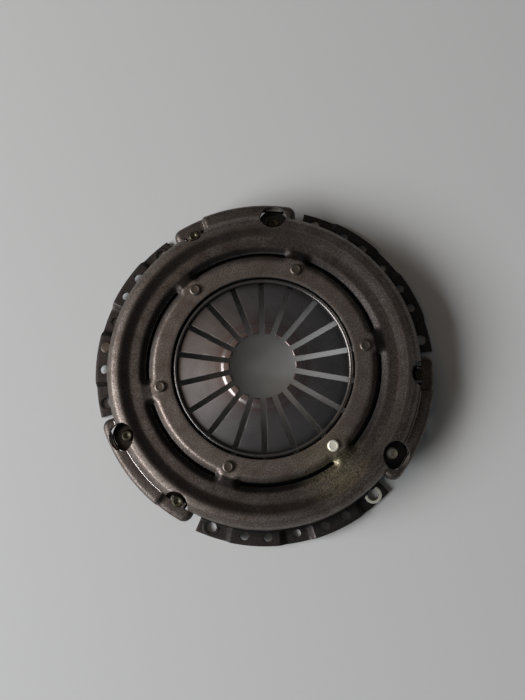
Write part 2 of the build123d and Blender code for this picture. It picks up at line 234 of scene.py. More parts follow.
def settle(piece):
    """Apply a piece's modifiers to its mesh."""
    bpy.context.view_layer.update()
    graph = bpy.context.evaluated_depsgraph_get()
    mesh = bpy.data.meshes.new_from_object(
        piece.evaluated_get(graph), preserve_all_data_layers=True, depsgraph=graph
    )
    piece.modifiers.clear()
    piece.data = mesh


def carve(piece, tool):
    """Cut a piece with a tool, and throw the tool away."""
    boolean = piece.modifiers.new("punch", "BOOLEAN")
    boolean.operation = "DIFFERENCE"
    boolean.solver = "EXACT"
    boolean.material_mode = "TRANSFER"
    boolean.object = tool
    settle(piece)
    bpy.data.objects.remove(tool)


# %% [markdown]
# ## Small tools for materials
# Colours are written as sRGB hex, as a paint chart would, and one function turns them to
# the linear values that the renderer works in. `add_node` adds any node, sets its values,
# joins its inputs and hands back the output that the next node needs.

# %% Material tools
def linear(code):
    """An sRGB hex colour as linear RGBA."""
    channels = [int(code[i : i + 2], 16) / 255 for i in (1, 3, 5)]
    return (*[c / 12.92 if c <= 0.04045 else ((c + 0.055) / 1.055) ** 2.4 for c in channels], 1.0)


def add_node(tree, kind, settings=None, links=None, stops=None, out=0):
    """Add a node, with its settings, ramp stops and inputs; returns one of its outputs."""
    node = tree.nodes.new("ShaderNode" + kind)
    if stops:
        elements = node.color_ramp.elements
        elements.remove(elements[-1])
        for k, (place, shade) in enumerate(stops):
            stop = elements[0] if k == 0 else elements.new(place)
            stop.position = place
            stop.color = linear(shade) if isinstance(shade, str) else (shade, shade, shade, 1.0)
    for key, value in (settings or {}).items():
        if isinstance(key, int) or key in node.inputs:
            node.inputs[key].default_value = value
        else:
            setattr(node, key, value)
    for key, socket in (links or {}).items():
        tree.links.new(socket, node.inputs[key])
    return node.outputs[out]


def start_material(name):
    """A new material with a Principled shader; returns the material, tree and shader."""
    material = bpy.data.materials.new(name)
    material.use_nodes = True
    tree = material.node_tree
    shader = next(n for n in tree.nodes if n.type == "BSDF_PRINCIPLED")
    return material, tree, shader


def per_mm(size):
    """The scale of a noise whose features are about `size` mm across."""
    return 1000.0 / size


# %% [markdown]
# ## Camera
# The camera looks almost straight down from about half a metre, turned so that the first
# dowel hole lies at the upper right of the view. The lens is told as its focal length in
# pixels of a view that is 700 pixels high.

# %% Camera
SENSOR_MM, FOCAL_PX, VIEW_PX = 24.0, 640, 700
CAMERA_AT, CAMERA_TURN = (-28.4, -56.4, 535.5), (8.47, 1.85, -41.23)

camera_data = bpy.data.cameras.new("overhead_camera")
camera_data.sensor_fit = "VERTICAL"
camera_data.sensor_height = SENSOR_MM
camera_data.lens = SENSOR_MM * FOCAL_PX / VIEW_PX
camera = bpy.data.objects.new("overhead_camera", camera_data)
camera.location = Vector(CAMERA_AT) * MM
camera.rotation_euler = [math.radians(a) for a in CAMERA_TURN]
bpy.context.scene.collection.objects.link(camera)
bpy.context.scene.camera = camera
bpy.context.view_layer.update()
view_right, view_up = camera.matrix_world.col[0].xyz, camera.matrix_world.col[1].xyz
print("camera lens:", round(camera_data.lens, 2), "mm")

# %% [markdown]
# ## Table
# The part lies on a plain pale board, a tenth of a millimetre under its flanges.

# %% Table
table_material, _, table_shader = start_material("pale_table_board")
table_shader.inputs["Base Color"].default_value = linear("#bdbdb7")
table_shader.inputs["Roughness"].default_value = 0.75
table_bm = bmesh.new()
bmesh.ops.create_grid(table_bm, x_segments=2, y_segments=2, size=3.0)
bmesh.ops.translate(table_bm, verts=table_bm.verts, vec=(0, 0, -0.1 * MM))
table = finish_mesh(table_bm, "table")
give(table, table_material)

# %% [markdown]
# ## Light
# Metal shows its shape by what it mirrors, so the light is a big soft window on the left
# of the view, a dim warm ceiling, and little on the right: slopes that face left turn pale
# and those that face right turn dark. The room itself adds a faint light from all sides.

# %% Lights
def soft_lamp(name, towards, distance, size, watts, colour):
    """A rectangular lamp that faces the part from a direction."""
    lamp = bpy.data.lights.new(name, "AREA")
    lamp.shape = "RECTANGLE"
    lamp.size, lamp.size_y = size
    lamp.energy = watts
    lamp.color = linear(colour)[:3]
    holder = bpy.data.objects.new(name, lamp)
    direction = towards.normalized()
    holder.location = direction * distance
    holder.rotation_euler = direction.to_track_quat("Z", "Y").to_euler()
    bpy.context.scene.collection.objects.link(holder)


UP, ROOM_STRENGTH = Vector((0, 0, 1)), 0.11
soft_lamp(
    "window",
    towards=-view_right - 0.3 * view_up + 0.64 * UP,
    distance=4.0,
    size=(3.4, 1.7),
    watts=275,
    colour="#f4f6ff",
)
soft_lamp(
    "ceiling",
    towards=UP - 0.6 * view_right + 0.2 * view_up,
    distance=2.4,
    size=(1.6, 1.6),
    watts=4,
    colour="#ffd9b4",
)
room = bpy.data.worlds.new("room")
room.use_nodes = True
room_light = next(n for n in room.node_tree.nodes if n.type == "BACKGROUND")
room_light.inputs["Color"].default_value = linear("#cdd2dc")
room_light.inputs["Strength"].default_value = ROOM_STRENGTH
bpy.context.scene.world = room
bpy.context.scene.view_settings.view_transform = "Standard"

# %% [markdown]
# ## What a finish is built from
# Steel that was pressed, dipped and oiled is never one colour: it is mottled in specks of
# about a millimetre and stained in patches of a centimetre or two. `mottled` mixes the
# three colours by two noises. Rubbing, tints and painted shade follow the turned shape of
# the part, so `shaded_by_radius` multiplies a colour by a ramp over the distance from the
# clutch axis, which tells how pale, dark or tinted the metal is on each ring, painted shade included.

# %% Mottling, the distance from the axis and the shine
RAMP_MM = 200.0
COLOURS = {"data_type": "RGBA"}


def mottled(tree, dark, pale, stain, speck_mm=1.1, patch_mm=14):
    """Colour of specked and stained metal; returns its socket, the speck's and the place."""
    place = add_node(tree, "TexCoord", out="Object")
    fine = {"Scale": per_mm(speck_mm), "Detail": 4.0, "Roughness": 0.65}
    speck = add_node(tree, "TexNoise", fine, {"Vector": place})
    broad = {"Scale": per_mm(patch_mm), "Detail": 3.0, "Roughness": 0.6, "Distortion": 0.4}
    patch = add_node(tree, "TexNoise", broad, {"Vector": place})
    specks = add_node(tree, "MapRange", {"From Min": 0.4, "From Max": 0.66}, {"Value": speck})
    patches = add_node(
        tree, "MapRange", {"From Min": 0.35, "From Max": 0.7, "To Max": 0.55}, {"Value": patch}
    )
    two_tone = {**COLOURS, 6: linear(dark), 7: linear(pale)}
    specked = add_node(tree, "Mix", two_tone, {0: specks}, out=2)
    stained = add_node(
        tree, "Mix", {**COLOURS, 7: linear(stain)}, {0: patches, 6: specked}, out=2
    )
    return stained, speck, place


def radius_in_mm(tree, place):
    """Distance from the clutch axis in mm."""
    flat = add_node(tree, "VectorMath", {"operation": "MULTIPLY", 1: (1000, 1000, 0)}, {0: place})
    return add_node(tree, "VectorMath", {"operation": "LENGTH"}, {0: flat}, out="Value")


def shaded_by_radius(tree, place, colour, stops):
    """Multiply a colour by a ramp; its stops are (radius in mm, grey level or colour)."""
    across = add_node(tree, "MapRange", {"From Max": RAMP_MM}, {"Value": radius_in_mm(tree, place)})
    stops = [(mm / RAMP_MM, shade) for mm, shade in stops]
    ramp = add_node(tree, "ValToRGB", links={0: across}, stops=stops)
    product = {**COLOURS, "blend_type": "MULTIPLY", 0: 1.0}
    return add_node(tree, "Mix", product, {6: colour, 7: ramp}, out=2)


def surface(tree, shader, colour, speck, roughness, metallic, grain_mm):
    """Join a colour to a shader, with the paler specks a little smoother than the rest."""
    tree.links.new(colour, shader.inputs["Base Color"])
    polish = {"From Min": 0.3, "From Max": 0.7, "To Min": roughness + 0.1, "To Max": roughness - 0.06}
    dull = add_node(tree, "MapRange", polish, {"Value": speck})
    tree.links.new(dull, shader.inputs["Roughness"])
    grain = {"Strength": 0.3, "Distance": grain_mm * MM}
    bump = add_node(tree, "Bump", grain, {"Height": speck})
    tree.links.new(bump, shader.inputs["Normal"])
    shader.inputs["Metallic"].default_value = metallic


# %% [markdown]
# ## Finish of the pressed cover
# Deep-drawn sheet steel is dipped in hot phosphate and oiled. It turns a dark bronze-brown
# and looks like a dull metal. In use the shoulder and the beads are rubbed pale in specks.
# The ramp over the radius carries that rubbing and painted shade, darkest in the valley
# round the windows and in the ring behind the crest. A range over the height darkens the
# low flange with dust and painted shade, and a noisy spot about one point is a yellowish
# painted sheen.

# %% Pressed, phosphated and oiled sheet steel
# Heights in mm over which dust and painted shade darken the low flange.
DUST_SHADE_FULL_Z, DUST_SHADE_ENDS_Z = 9, 24
# A yellowish painted sheen fades out round this spot; its core and reach are in mm.
SHEEN_SPOT, SHEEN_CORE, SHEEN_REACH = at_polar(93, 263, 42), 8, 32


def fading(start, end, level):
    """Settings of a range that falls from a level to nothing between two sizes in mm."""
    return {"From Min": start * MM, "From Max": end * MM, "To Min": level, "To Max": 0.0}


def phosphated_sheet(name, dark, pale, stain, roughness, wear_and_shade):
    """Phosphated and oiled sheet steel; its radius stops, (radius in mm, level), carry wear and
    painted shade.
    """
    material, tree, shader = start_material(name)
    colour, speck, place = mottled(tree, dark, pale, stain)
    # Wear and painted shade: the colour is darkened ring by ring over the radius.
    worn_and_shaded = shaded_by_radius(tree, place, colour, wear_and_shade)
    height = add_node(tree, "SeparateXYZ", links={0: place}, out="Z")
    # Dust and painted shade: the colour darkens towards the low flange.
    low = add_node(tree, "MapRange", fading(DUST_SHADE_FULL_Z, DUST_SHADE_ENDS_Z, 0.75), {"Value": height})
    dusty_and_shaded = add_node(tree, "Mix", {**COLOURS, 7: linear("#191919")}, {0: low, 6: worn_and_shaded}, out=2)
    # Painted sheen: yellowish specks round one spot on the plateau and ledge.
    from_spot = add_node(
        tree, "VectorMath", {"operation": "DISTANCE", 1: SHEEN_SPOT}, {0: place}, out="Value"
    )
    edge = add_node(tree, "MapRange", fading(SHEEN_CORE, SHEEN_REACH, 0.6), {"Value": from_spot})
    sheen_specks = add_node(tree, "MapRange", {"From Min": 0.36, "From Max": 0.66}, {"Value": speck})
    painted_sheen = add_node(tree, "Math", {"operation": "MULTIPLY"}, {0: edge, 1: sheen_specks})
    with_sheen = add_node(tree, "Mix", {**COLOURS, 7: linear("#a69d78")}, {0: painted_sheen, 6: dusty_and_shaded}, out=2)
    surface(tree, shader, with_sheen, speck, roughness, 0.85, 0.12)
    return material


# Levels over the radius: rubbing, and painted shade darkest in the valley round the windows and in the
# ring behind the crest.
cover_wear_and_shade = [
    (72, 0.8), (84.5, 0.85), (86, 1.0), (88.4, 1.0), (89.8, 0.13), (96, 0.12), (98.5, 0.42),
    (104, 0.52), (107, 0.26), (111, 0.22), (113.5, 0.42), (116, 0.76), (119, 0.8),
    (124.6, 0.8), (127, 0.5), (133, 0.5), (135, 0.8), (150, 0.8),
]
edge_wear = [(20, 1.0), (150, 1.0)]
pressed_steel = phosphated_sheet(
    "oiled_pressed_steel", "#5c524b", "#9c9287", "#4c3e33", 0.46, cover_wear_and_shade
)
sheared_edge = phosphated_sheet(
    "sheared_steel_edge", "#9a958d", "#c9c5bd", "#7d766e", 0.34, edge_wear
)

# %% [markdown]
# ## Finish of the spring
# The spring is stamped from chromium-vanadium sheet, hardened and oiled. It is smoother and
# greyer than the cover. Its tips are hardened once more by induction, which tints them a
# coppery red, and the release bearing polishes the crest of each tip. Towards the cover's
# bore edge the spring darkens, with an oil film near the pivot and painted shade where the
# cover's edge shades the fingers. All of this follows the radius, so one coloured ramp gives it.

# %% Hardened spring steel with tinted, polished tips
def hardened_spring_steel(name, dark, pale, stain, roughness, tints_and_shade):
    """Hardened spring steel; its radius stops, (radius in mm, colour), carry tints and painted shade.
    """
    material, tree, shader = start_material(name)
    colour, speck, place = mottled(tree, dark, pale, stain, 0.7, 22)
    tinted_and_shaded = shaded_by_radius(tree, place, colour, tints_and_shade)
    surface(tree, shader, tinted_and_shaded, speck, roughness, 0.9, 0.04)
    return material


# Tints over the radius; from 62 mm outwards an oil film and painted shade darken the spring.
spring_tints_and_shade = [
    (25.6, "#c2b2ac"), (27.0, "#dfc9c2"), (29.8, "#e4cfc8"), (30.6, "#fff4ef"),
    (32.4, "#fff4ef"), (33.6, "#cfbab3"), (39, "#dcd6d3"), (50, "#e0dfde"),
    (62, "#cfcecd"), (70, "#6a6868"), (75, "#363535"), (110, "#363535"),
]
spring_steel = hardened_spring_steel(
    "hardened_spring_steel", "#777472", "#979492", "#646260", 0.34, spring_tints_and_shade
)

# %% [markdown]
# ## Finish of the casting
# The pressure plate is grey cast iron: a dark, sandy skin as cast, and fine turned rings
# where the friction face is machined. Metallic stays high, because cast iron is a metal,
# and the roughness is high as well. The rings are a sine of the radius, 0.9 mm apart,
# which is coarser than a real feed so that they show, and they keep to the machined face.
# Towards the lugs the iron is darkened nearly to black as painted shade, for the deep shade in the
# wells under the shelves.

# %% Grey cast iron, as cast above and turned below
FEED, LUG_SHADE_FROM_R, LUG_SHADE_FULL_R = 0.9, 108.0, 113.0


def grey_cast_iron(name, dark, pale, stain, roughness, face_z):
    """Grey cast iron with turned rings on the face at height `face_z` in mm."""
    material, tree, shader = start_material(name)
    colour, speck, place = mottled(tree, dark, pale, stain, 0.8, 18)
    radius = radius_in_mm(tree, place)
    per_feed = {"operation": "MULTIPLY", 1: 2 * math.pi / FEED}
    turns = add_node(tree, "Math", per_feed, {0: radius})
    ring = add_node(tree, "Math", {"operation": "SINE"}, {0: turns})
    height = add_node(tree, "SeparateXYZ", links={0: place}, out="Z")
    face = add_node(tree, "MapRange", fading(face_z + 0.2, face_z + 0.6, 1.0), {"Value": height})
    bright = add_node(
        tree, "MapRange", {"From Min": -1.0, "To Min": 0.35, "To Max": 1.0}, {"Value": ring}
    )
    share = add_node(tree, "Math", {"operation": "MULTIPLY"}, {0: bright, 1: face})
    turned_face = add_node(
        tree, "Mix", {**COLOURS, 7: linear("#8d8b88")}, {0: share, 6: colour}, out=2
    )
    # Painted shade: from 108 mm outwards the lugs darken nearly to black.
    to_lug_shade = {"From Min": LUG_SHADE_FROM_R, "From Max": LUG_SHADE_FULL_R, "To Max": 0.75}
    lugs = add_node(tree, "MapRange", to_lug_shade, {"Value": radius})
    black = add_node(
        tree, "Mix", {**COLOURS, 7: linear("#161514")}, {0: lugs, 6: turned_face}, out=2
    )
    surface(tree, shader, black, speck, roughness, 0.8, 0.15)
    return material


cast_iron = grey_cast_iron(
    "grey_cast_iron", "#4a4744", "#63605c", "#383633", 0.55, low_z("pressure_plate")
)

# %% [markdown]
# ## Finish of wire, rivets and straps
# The pivot rings are drawn wire, rolled smooth, so they carry narrow bright lines. Rivets
# are cold-headed and oiled. The strap rivets are darker than the others, partly as painted
# shade of the wells they sit in. The straps are rolled strip with a dark film. One pivot
# rivet, one lug rivet and one bolt seat still show their zinc plate. It is a thin, milky
# coat, so its metallic is lower than that of the steels.

# %% Drawn wire, headed rivets, rolled straps and zinc plate
def worked_steel(name, dark, pale, stain, roughness, speck_mm=0.9, metallic=0.9):
    """Small steel parts that were drawn, headed, rolled, burnished or plated."""
    material, tree, shader = start_material(name)
    colour, speck, _ = mottled(tree, dark, pale, stain, speck_mm, 9)
    surface(tree, shader, colour, speck, roughness, metallic, 0.05)
    return material


ring_steel = worked_steel("drawn_ring_wire", "#625e59", "#827e78", "#4b4844", 0.27, 0.6)
rivet_steel = worked_steel("cold_headed_rivet_steel", "#5b544b", "#786f64", "#453e36", 0.38)
# Strap rivets: darker, partly as painted shade of their wells.
strap_rivet_shaded_steel = worked_steel("dark_rivet_steel_painted_shade", "#3b382f", "#58543f", "#26241d", 0.4)
strap_steel = worked_steel("rolled_strap_steel", "#33302d", "#45413d", "#262422", 0.4)
burnished_steel = worked_steel("burnished_steel", "#aaa49d", "#d6d0c9", "#857f78", 0.24, 0.6)
zinc_plate = worked_steel("scuffed_zinc_plate", "#d9d6c2", "#f7f4de", "#b5b19b", 0.45, 0.8, 0.4)
print("finishes:", len(bpy.data.materials))

# %% [markdown]
# ## The cover's skin
# The cover is one sheet, drawn into a bowl with rings pressed in its top: a flat land that
# carries the rivets, a valley with the windows, a ledge, a crest and a rounded shoulder.
# A spun outline gives the whole bowl at once. The valley stops short at each rivet, so
# after the spin each vertex of that ring looks up its height from its distance to the
# window's middle line.

# %% Outline of the bowl, from the bore to the flange
BORE_R, WINDOW_IN_R, WINDOW_OUT_R = 72.2, 90.2, 93.4
LEDGE_OUT_R, CREST_R, SHOULDER_R, FOOT_R, FLANGE_R = 105.5, 113.5, 125.4, 129.0, 141.0
LAND_RINGS, LAND_STEP, VALLEY_RINGS, VALLEY_STEP = 5, 2.4, 24, 0.8
VALLEY_FROM_R, VALLEY_TO_R = 82.0, 101.0

land = [(BORE_R + LAND_STEP * k, PLATEAU_Z) for k in range(LAND_RINGS)]
valley_rings = [(VALLEY_FROM_R + VALLEY_STEP * k, PLATEAU_Z) for k in range(VALLEY_RINGS)]
rim_side = rounded(
    [
        (VALLEY_TO_R, LEDGE_Z),
        (LEDGE_OUT_R, LEDGE_Z),
        (CREST_R, CREST_Z),
        (SHOULDER_R - 6.2, CREST_Z - 1.2),
        (SHOULDER_R - 2.2, CREST_Z - 5.4),
        (SHOULDER_R, SHOULDER_Z),
        (FOOT_R, SHEET),
        (FLANGE_R, SHEET),
    ],
    [5, 5, 5, 5, 6, 4],
)
bowl_outline = [Vector(p) for p in land + valley_rings] + rim_side
print("bowl outline:", len(bowl_outline), "points")

# %% [markdown]
# The fall from land to valley and the rise from valley to ledge are two short rounded
# outlines, measured outwards from the window's middle line. Round the ends of a window
# the two meet, so we turn gradually from one to the other.

# %% Height of the valley
RIVET_AT, WINDOW_AFTER, WINDOW_BEFORE = 30.0, 7.3, 4.8
WINDOW_MID_R = (WINDOW_IN_R + WINDOW_OUT_R) / 2
WINDOW_FIRST = RIVET_AT + WINDOW_AFTER
WINDOW_LAST = RIVET_AT + PITCH - WINDOW_BEFORE
END_INSET = math.degrees((WINDOW_OUT_R - WINDOW_IN_R) / 2 / WINDOW_MID_R)

inner_fall = rounded(
    [(0, WINDOW_Z), (2.0, WINDOW_Z), (6.0, PLATEAU_Z), (12.0, PLATEAU_Z)], [1.6, 4.2], 8, 20
)
outer_rise = rounded(
    [(0, WINDOW_Z), (1.0, WINDOW_Z), (5.7, LEDGE_Z), (12.0, LEDGE_Z)], [1.6, 4.2], 8, 20
)


def height_along(outline, distance):
    """Height of an outline at a distance, between its points."""
    for start, end in zip(outline, outline[1:]):
        if distance <= end[0]:
            share = (distance - start[0]) / max(end[0] - start[0], 1e-6)
            return start[1] + (end[1] - start[1]) * share
    return outline[-1][1]


def ease(value):
    """A smooth step from 0 to 1."""
    t = min(1.0, max(0.0, value))
    return t * t * (3 - 2 * t)


def valley_height(r, angle):
    """Height of the skin between land and ledge."""
    turn = (angle - WINDOW_FIRST) % PITCH + WINDOW_FIRST
    past = max(turn - (WINDOW_LAST - END_INSET), (WINDOW_FIRST + END_INSET) - turn)
    if turn > WINDOW_LAST:
        past = min(turn - (WINDOW_LAST - END_INSET), WINDOW_FIRST + END_INSET + PITCH - turn)
    along = max(0.0, math.radians(past) * WINDOW_MID_R)
    across = r - WINDOW_MID_R
    away = math.hypot(along, across)
    lean = 0.5 + 0.5 * across / max(away, 1e-6)
    share = ease(lean) if along > 0 else float(across > 0)
    return height_along(inner_fall, away) * (1 - share) + height_along(outer_rise, away) * share


# %% [markdown]
# Between the raised sectors the wall runs down to a bolting flange. The flange touches
# the flywheel only at its bolt and dowel pads; between them it is joggled up by 4 mm. The
# spun sheet goes all the way round, so the faces under the raised sectors are deleted. The
# Solidify modifier then gives the sheet its thickness.

# %% Spin the bowl, press the valley and the joggles, and thicken the sheet
COLUMNS, FLANGE_HALF, WALL_HALF = 480, 34.5, 38.25
JOGGLE, JOGGLE_IN, JOGGLE_OUT, JOGGLE_HALF_RUN = 4.0, 5.0, 23.3, 0.95


def off_dowel(angle):
    """Degrees between an angle and the nearest dowel hole."""
    return abs((angle + SECTOR / 2) % SECTOR - SECTOR / 2)


def joggle_at(angle):
    """How far the flange stands up at an angle, in mm."""
    from_dowel = off_dowel(angle)
    up = ease((from_dowel - JOGGLE_IN + JOGGLE_HALF_RUN) / (2 * JOGGLE_HALF_RUN))
    down = ease((from_dowel - JOGGLE_OUT + JOGGLE_HALF_RUN) / (2 * JOGGLE_HALF_RUN))
    return JOGGLE * (up - down)


def press_bowl():
    """The skin of the bowl and its flanges."""
    bm = bmesh.new()
    spin_outline(bm, bowl_outline, COLUMNS)
    bmesh.ops.remove_doubles(bm, verts=bm.verts, dist=1e-6)
    for vert in bm.verts:
        r, angle = polar(vert.co)
        if VALLEY_FROM_R - 0.1 < r < VALLEY_TO_R + 0.1:
            vert.co.z = valley_height(r, angle) * MM
        elif vert.co.z / MM < SHOULDER_Z - 1:
            share = (SHOULDER_Z - vert.co.z / MM) / (SHOULDER_Z - SHEET)
            vert.co.z += joggle_at(angle) * share * MM
    spare = []
    for face in bm.faces:
        centre = face.calc_center_median()
        r, angle = polar(centre)
        low_wall = centre.z / MM < SHOULDER_Z - 2
        between = off_dowel(angle) > WALL_HALF and low_wall
        if between or (off_dowel(angle) > FLANGE_HALF and r > FOOT_R):
            spare.append(face)
    bmesh.ops.delete(bm, geom=spare, context="FACES")
    bmesh.ops.recalc_face_normals(bm, faces=bm.faces)
    if sum(f.normal.z for f in bm.faces) < 0:
        bmesh.ops.reverse_faces(bm, faces=bm.faces)
    return finish_mesh(bm, "cover_pressing", weld=False)


def thicken(piece):
    """Give a sheet its thickness, with the sheared rim in the second material."""
    solid = piece.modifiers.new("sheet", "SOLIDIFY")
    solid.thickness = SHEET * MM
    solid.offset = -1
    solid.use_even_offset = True
    solid.material_offset_rim = 1
    settle(piece)


cover = press_bowl()
give(cover, pressed_steel, sheared_edge)
thicken(cover)
print("bowl:", len(cover.data.polygons), "faces")

# %% [markdown]
# ## Raised sectors
# Over each leaf strap the cover is not pressed down: a raised shelf runs outwards, steps
# down to a small pad at one end, and has its rim turned down as a lip. A spin can't follow
# the corners and the step, so we first walk along the free edge, round both corners.

# %% The walk along a shelf's free edge
SHELF_IN_R, SHELF_RIM_R, SHELF_CORNER = SHOULDER_R - 2.4, 136.3, 7.0
SHELF_FROM, SHELF_TO, STEP_AT, STEP_RUN = 37.0, 83.0, 70.1, 1.3
CORNER_PARTS, SHELF_PARTS, STEP_PARTS, PAD_PARTS = 10, 32, 8, 8


def free_edge(first, last):
    """Points of a shelf's edge in mm, each with the direction that faces away from it."""
    swing = math.degrees(math.asin(SHELF_CORNER / (SHELF_RIM_R - SHELF_CORNER)))
    straight = (SHELF_RIM_R - SHELF_CORNER) * math.cos(math.radians(swing))
    walk = []
    for end, way in ((first, 1), (last, -1)):
        outward = at_polar(1, end - way * 90) / MM
        half = [(at_polar(r, end) / MM, outward) for r in (SHELF_IN_R, straight - 0.3)]
        centre = at_polar(SHELF_RIM_R - SHELF_CORNER, end + way * swing) / MM
        for k in range(CORNER_PARTS + 1):
            facing = at_polar(1, end - way * 90 + way * (90 + swing) * k / CORNER_PARTS) / MM
            half.append((centre + facing * SHELF_CORNER, facing))
        walk.append(half)
    begin, stop = first + swing, last - swing
    reach = STEP_AT + first - SHELF_FROM - begin
    before = [begin + reach * k / SHELF_PARTS for k in range(1, SHELF_PARTS + 1)]
    step = [before[-1] + STEP_RUN * k / STEP_PARTS for k in range(1, STEP_PARTS + 1)]
    after = [step[-1] + (stop - step[-1]) * k / PAD_PARTS for k in range(1, PAD_PARTS)]
    rim = [(at_polar(SHELF_RIM_R, a) / MM, at_polar(1, a) / MM) for a in before + step + after]
    return walk[0] + rim + walk[1][::-1]


# %% [markdown]
# At each point of the walk we lay the same bent section square to it, once for the upper
# skin and once, a sheet's thickness inside it, for the lower. Past the step the section
# sinks by the pad's drop, but the foot of the lip stays where it is.

# %% Raised shelves
SHELF_BEND, BEND_PARTS, BEND_ENDS, LIP_EDGE = 4.6, 6, 7.0, 0.35
DROP_FROM, DROP_RUN = 11.5, 4.0


def bent_section(inset):
    """A skin's section from the lip's foot to the flat: (distance in, height from the top)."""
    bend = SHELF_BEND - inset
    lean = LIP_EDGE if inset == 0 else -LIP_EDGE
    rows = [(inset + lean, LIP_Z - BAND_Z), (inset, LIP_Z - BAND_Z + LIP_EDGE)]
    rows.append((inset, -BEND_ENDS - inset))
    for k in range(BEND_PARTS + 1):
        turn = math.radians(90 / BEND_PARTS * k)
        rows.append((inset + bend * (1 - math.cos(turn)), bend * (math.sin(turn) - 1) - inset))
    return rows


def skin_rows(bm, walk, inset, first):
    """Rows of vertices for one skin, the last row lying at the shelf's root."""
    columns = []
    for point, facing in walk:
        angle = (polar(point)[1] - first + 180) % 360 - 180
        drop = (BAND_Z - PAD_Z) * ease((angle - STEP_AT + SHELF_FROM) / STEP_RUN)
        column = []
        for deep, height in bent_section(inset):
            z = BAND_Z + height - drop * min(1.0, max(0.0, (height + DROP_FROM) / DROP_RUN))
            column.append((point - facing * deep) + Vector((0, 0, z)))
        flat = column[-1]
        turn = math.atan2(flat.y, flat.x)
        root = Vector((math.cos(turn) * SHELF_IN_R, math.sin(turn) * SHELF_IN_R, flat.z))
        column.append(root)
        columns.append([bm.verts.new(spot * MM) for spot in column])
    return columns


def shelf(first):
    """One raised shelf with its pad as a closed piece of bent sheet."""
    bm = bmesh.new()
    walk = free_edge(first, first + SHELF_TO - SHELF_FROM)
    upper, lower = skin_rows(bm, walk, 0.0, first), skin_rows(bm, walk, SHEET, first)
    for skin in (upper, lower):
        for left, right in zip(skin, skin[1:]):
            for j in range(len(left) - 1):
                bm.faces.new((left[j], left[j + 1], right[j + 1], right[j]))
    for k in range(len(walk) - 1):
        for j in (0, -1):
            strip = bm.faces.new((upper[k][j], upper[k + 1][j], lower[k + 1][j], lower[k][j]))
            strip.material_index = 1
    for k in (0, -1):
        bm.faces.new(upper[k] + lower[k][::-1]).material_index = 1
    piece = finish_mesh(bm, "raised_shelf")
    give(piece, pressed_steel, sheared_edge)
    return piece


shelves = [shelf(SHELF_FROM + SECTOR * sector) for sector in range(SECTORS)]
print("shelves:", [len(piece.data.polygons) for piece in shelves], "faces")

# %% [markdown]
# ## Holes in the cover
# All holes are sheared out of the sheet by punches, so we cut with punches too: upright
# cylinders, and for the arc windows a spun block with rounded ends. The punches carry the
# bare-edge material, so every cut wall comes out a little brighter than the skin.

# %% Punches for the windows and the flange
BOLT_CIRCLE_R, BOLT_AT, BALANCE_AT = 134.0, 30, (10, 18)
BOLT_HOLE_R, DOWEL_HOLE_R, BALANCE_HOLE_R = 4.5, 3.5, 3.6
BELOW, ABOVE, WINDOW_CORNER = -2, 12, 1.55


def punched(build):
    """Make a cutter from a function that fills a bmesh, in the sheared-edge material."""
    bm = bmesh.new()
    build(bm)
    tool = finish_mesh(bm, "punch", weld=False)
    give(tool, sheared_edge)
    return tool


def window_blocks(bm):
    """Six curved blocks with rounded ends."""
    rims = (WINDOW_IN_R, WINDOW_OUT_R)
    outline = [(r, WINDOW_Z - 8) for r in rims] + [(r, WINDOW_Z + 6) for r in rims[::-1]]
    for k in range(RIVETS):
        block = bmesh.new()
        spin_outline(block, outline, 60, WINDOW_FIRST + PITCH * k, WINDOW_LAST - WINDOW_FIRST, True)
        bmesh.ops.remove_doubles(block, verts=block.verts, dist=1e-7)
        bmesh.ops.holes_fill(block, edges=block.edges, sides=4)
        bmesh.ops.recalc_face_normals(block, faces=block.faces)
        upright = [e for e in block.edges if abs(e.verts[0].co.z - e.verts[1].co.z) > 5 * MM]
        bmesh.ops.bevel(
            block,
            geom=[e for e in upright if e.calc_face_angle(0) > 1],
            offset=WINDOW_CORNER * MM,
            segments=6,
            profile=0.5,
            affect="EDGES",
            material=-1,
        )
        pour(block, bm)


def flange_posts(bm):
    """Dowel, balance and bolt holes on the bolt circle."""
    holes = [(0, DOWEL_HOLE_R, 32)]
    holes += [(side * away, BALANCE_HOLE_R, 32) for side in (1, -1) for away in BALANCE_AT]
    holes += [(side * BOLT_AT, BOLT_HOLE_R, 40) for side in (1, -1)]
    for sector in range(SECTORS):
        for away, radius, segments in holes:
            post(bm, BOLT_CIRCLE_R, SECTOR * sector + away, radius, BELOW, ABOVE, segments)


# %% [markdown]
# The strap rivets are reached through round openings. The one over a lug leaves the lower
# lip standing. The one over a pad is sheared from the shoulder, and takes from the pad
# itself only a half-moon, less the round tongue that carries the rivet.

# %% Punches over the strap rivets
LUG_R, LUG_AT, LUG_PUNCH_R, LUG_PUNCH = 121.0, 45.0, 123.6, 11.1
PAD_R, PAD_AT, PAD_PUNCH_R, PAD_PUNCH, TONGUE = 123.8, 76.2, 126.0, 10.3, 6.4
PUNCH_TOP = 60


def lug_posts(bm):
    """The openings over the lugs, and the pads' openings down to the pad."""
    for k in range(SECTORS):
        lug, pad = LUG_AT + SECTOR * k, PAD_AT + SECTOR * k
        post(bm, LUG_PUNCH_R, lug, LUG_PUNCH, BAND_Z - 2 * SHEET, PUNCH_TOP, 64)
        post(bm, PAD_PUNCH_R, pad, PAD_PUNCH, PAD_Z, PUNCH_TOP, 64)


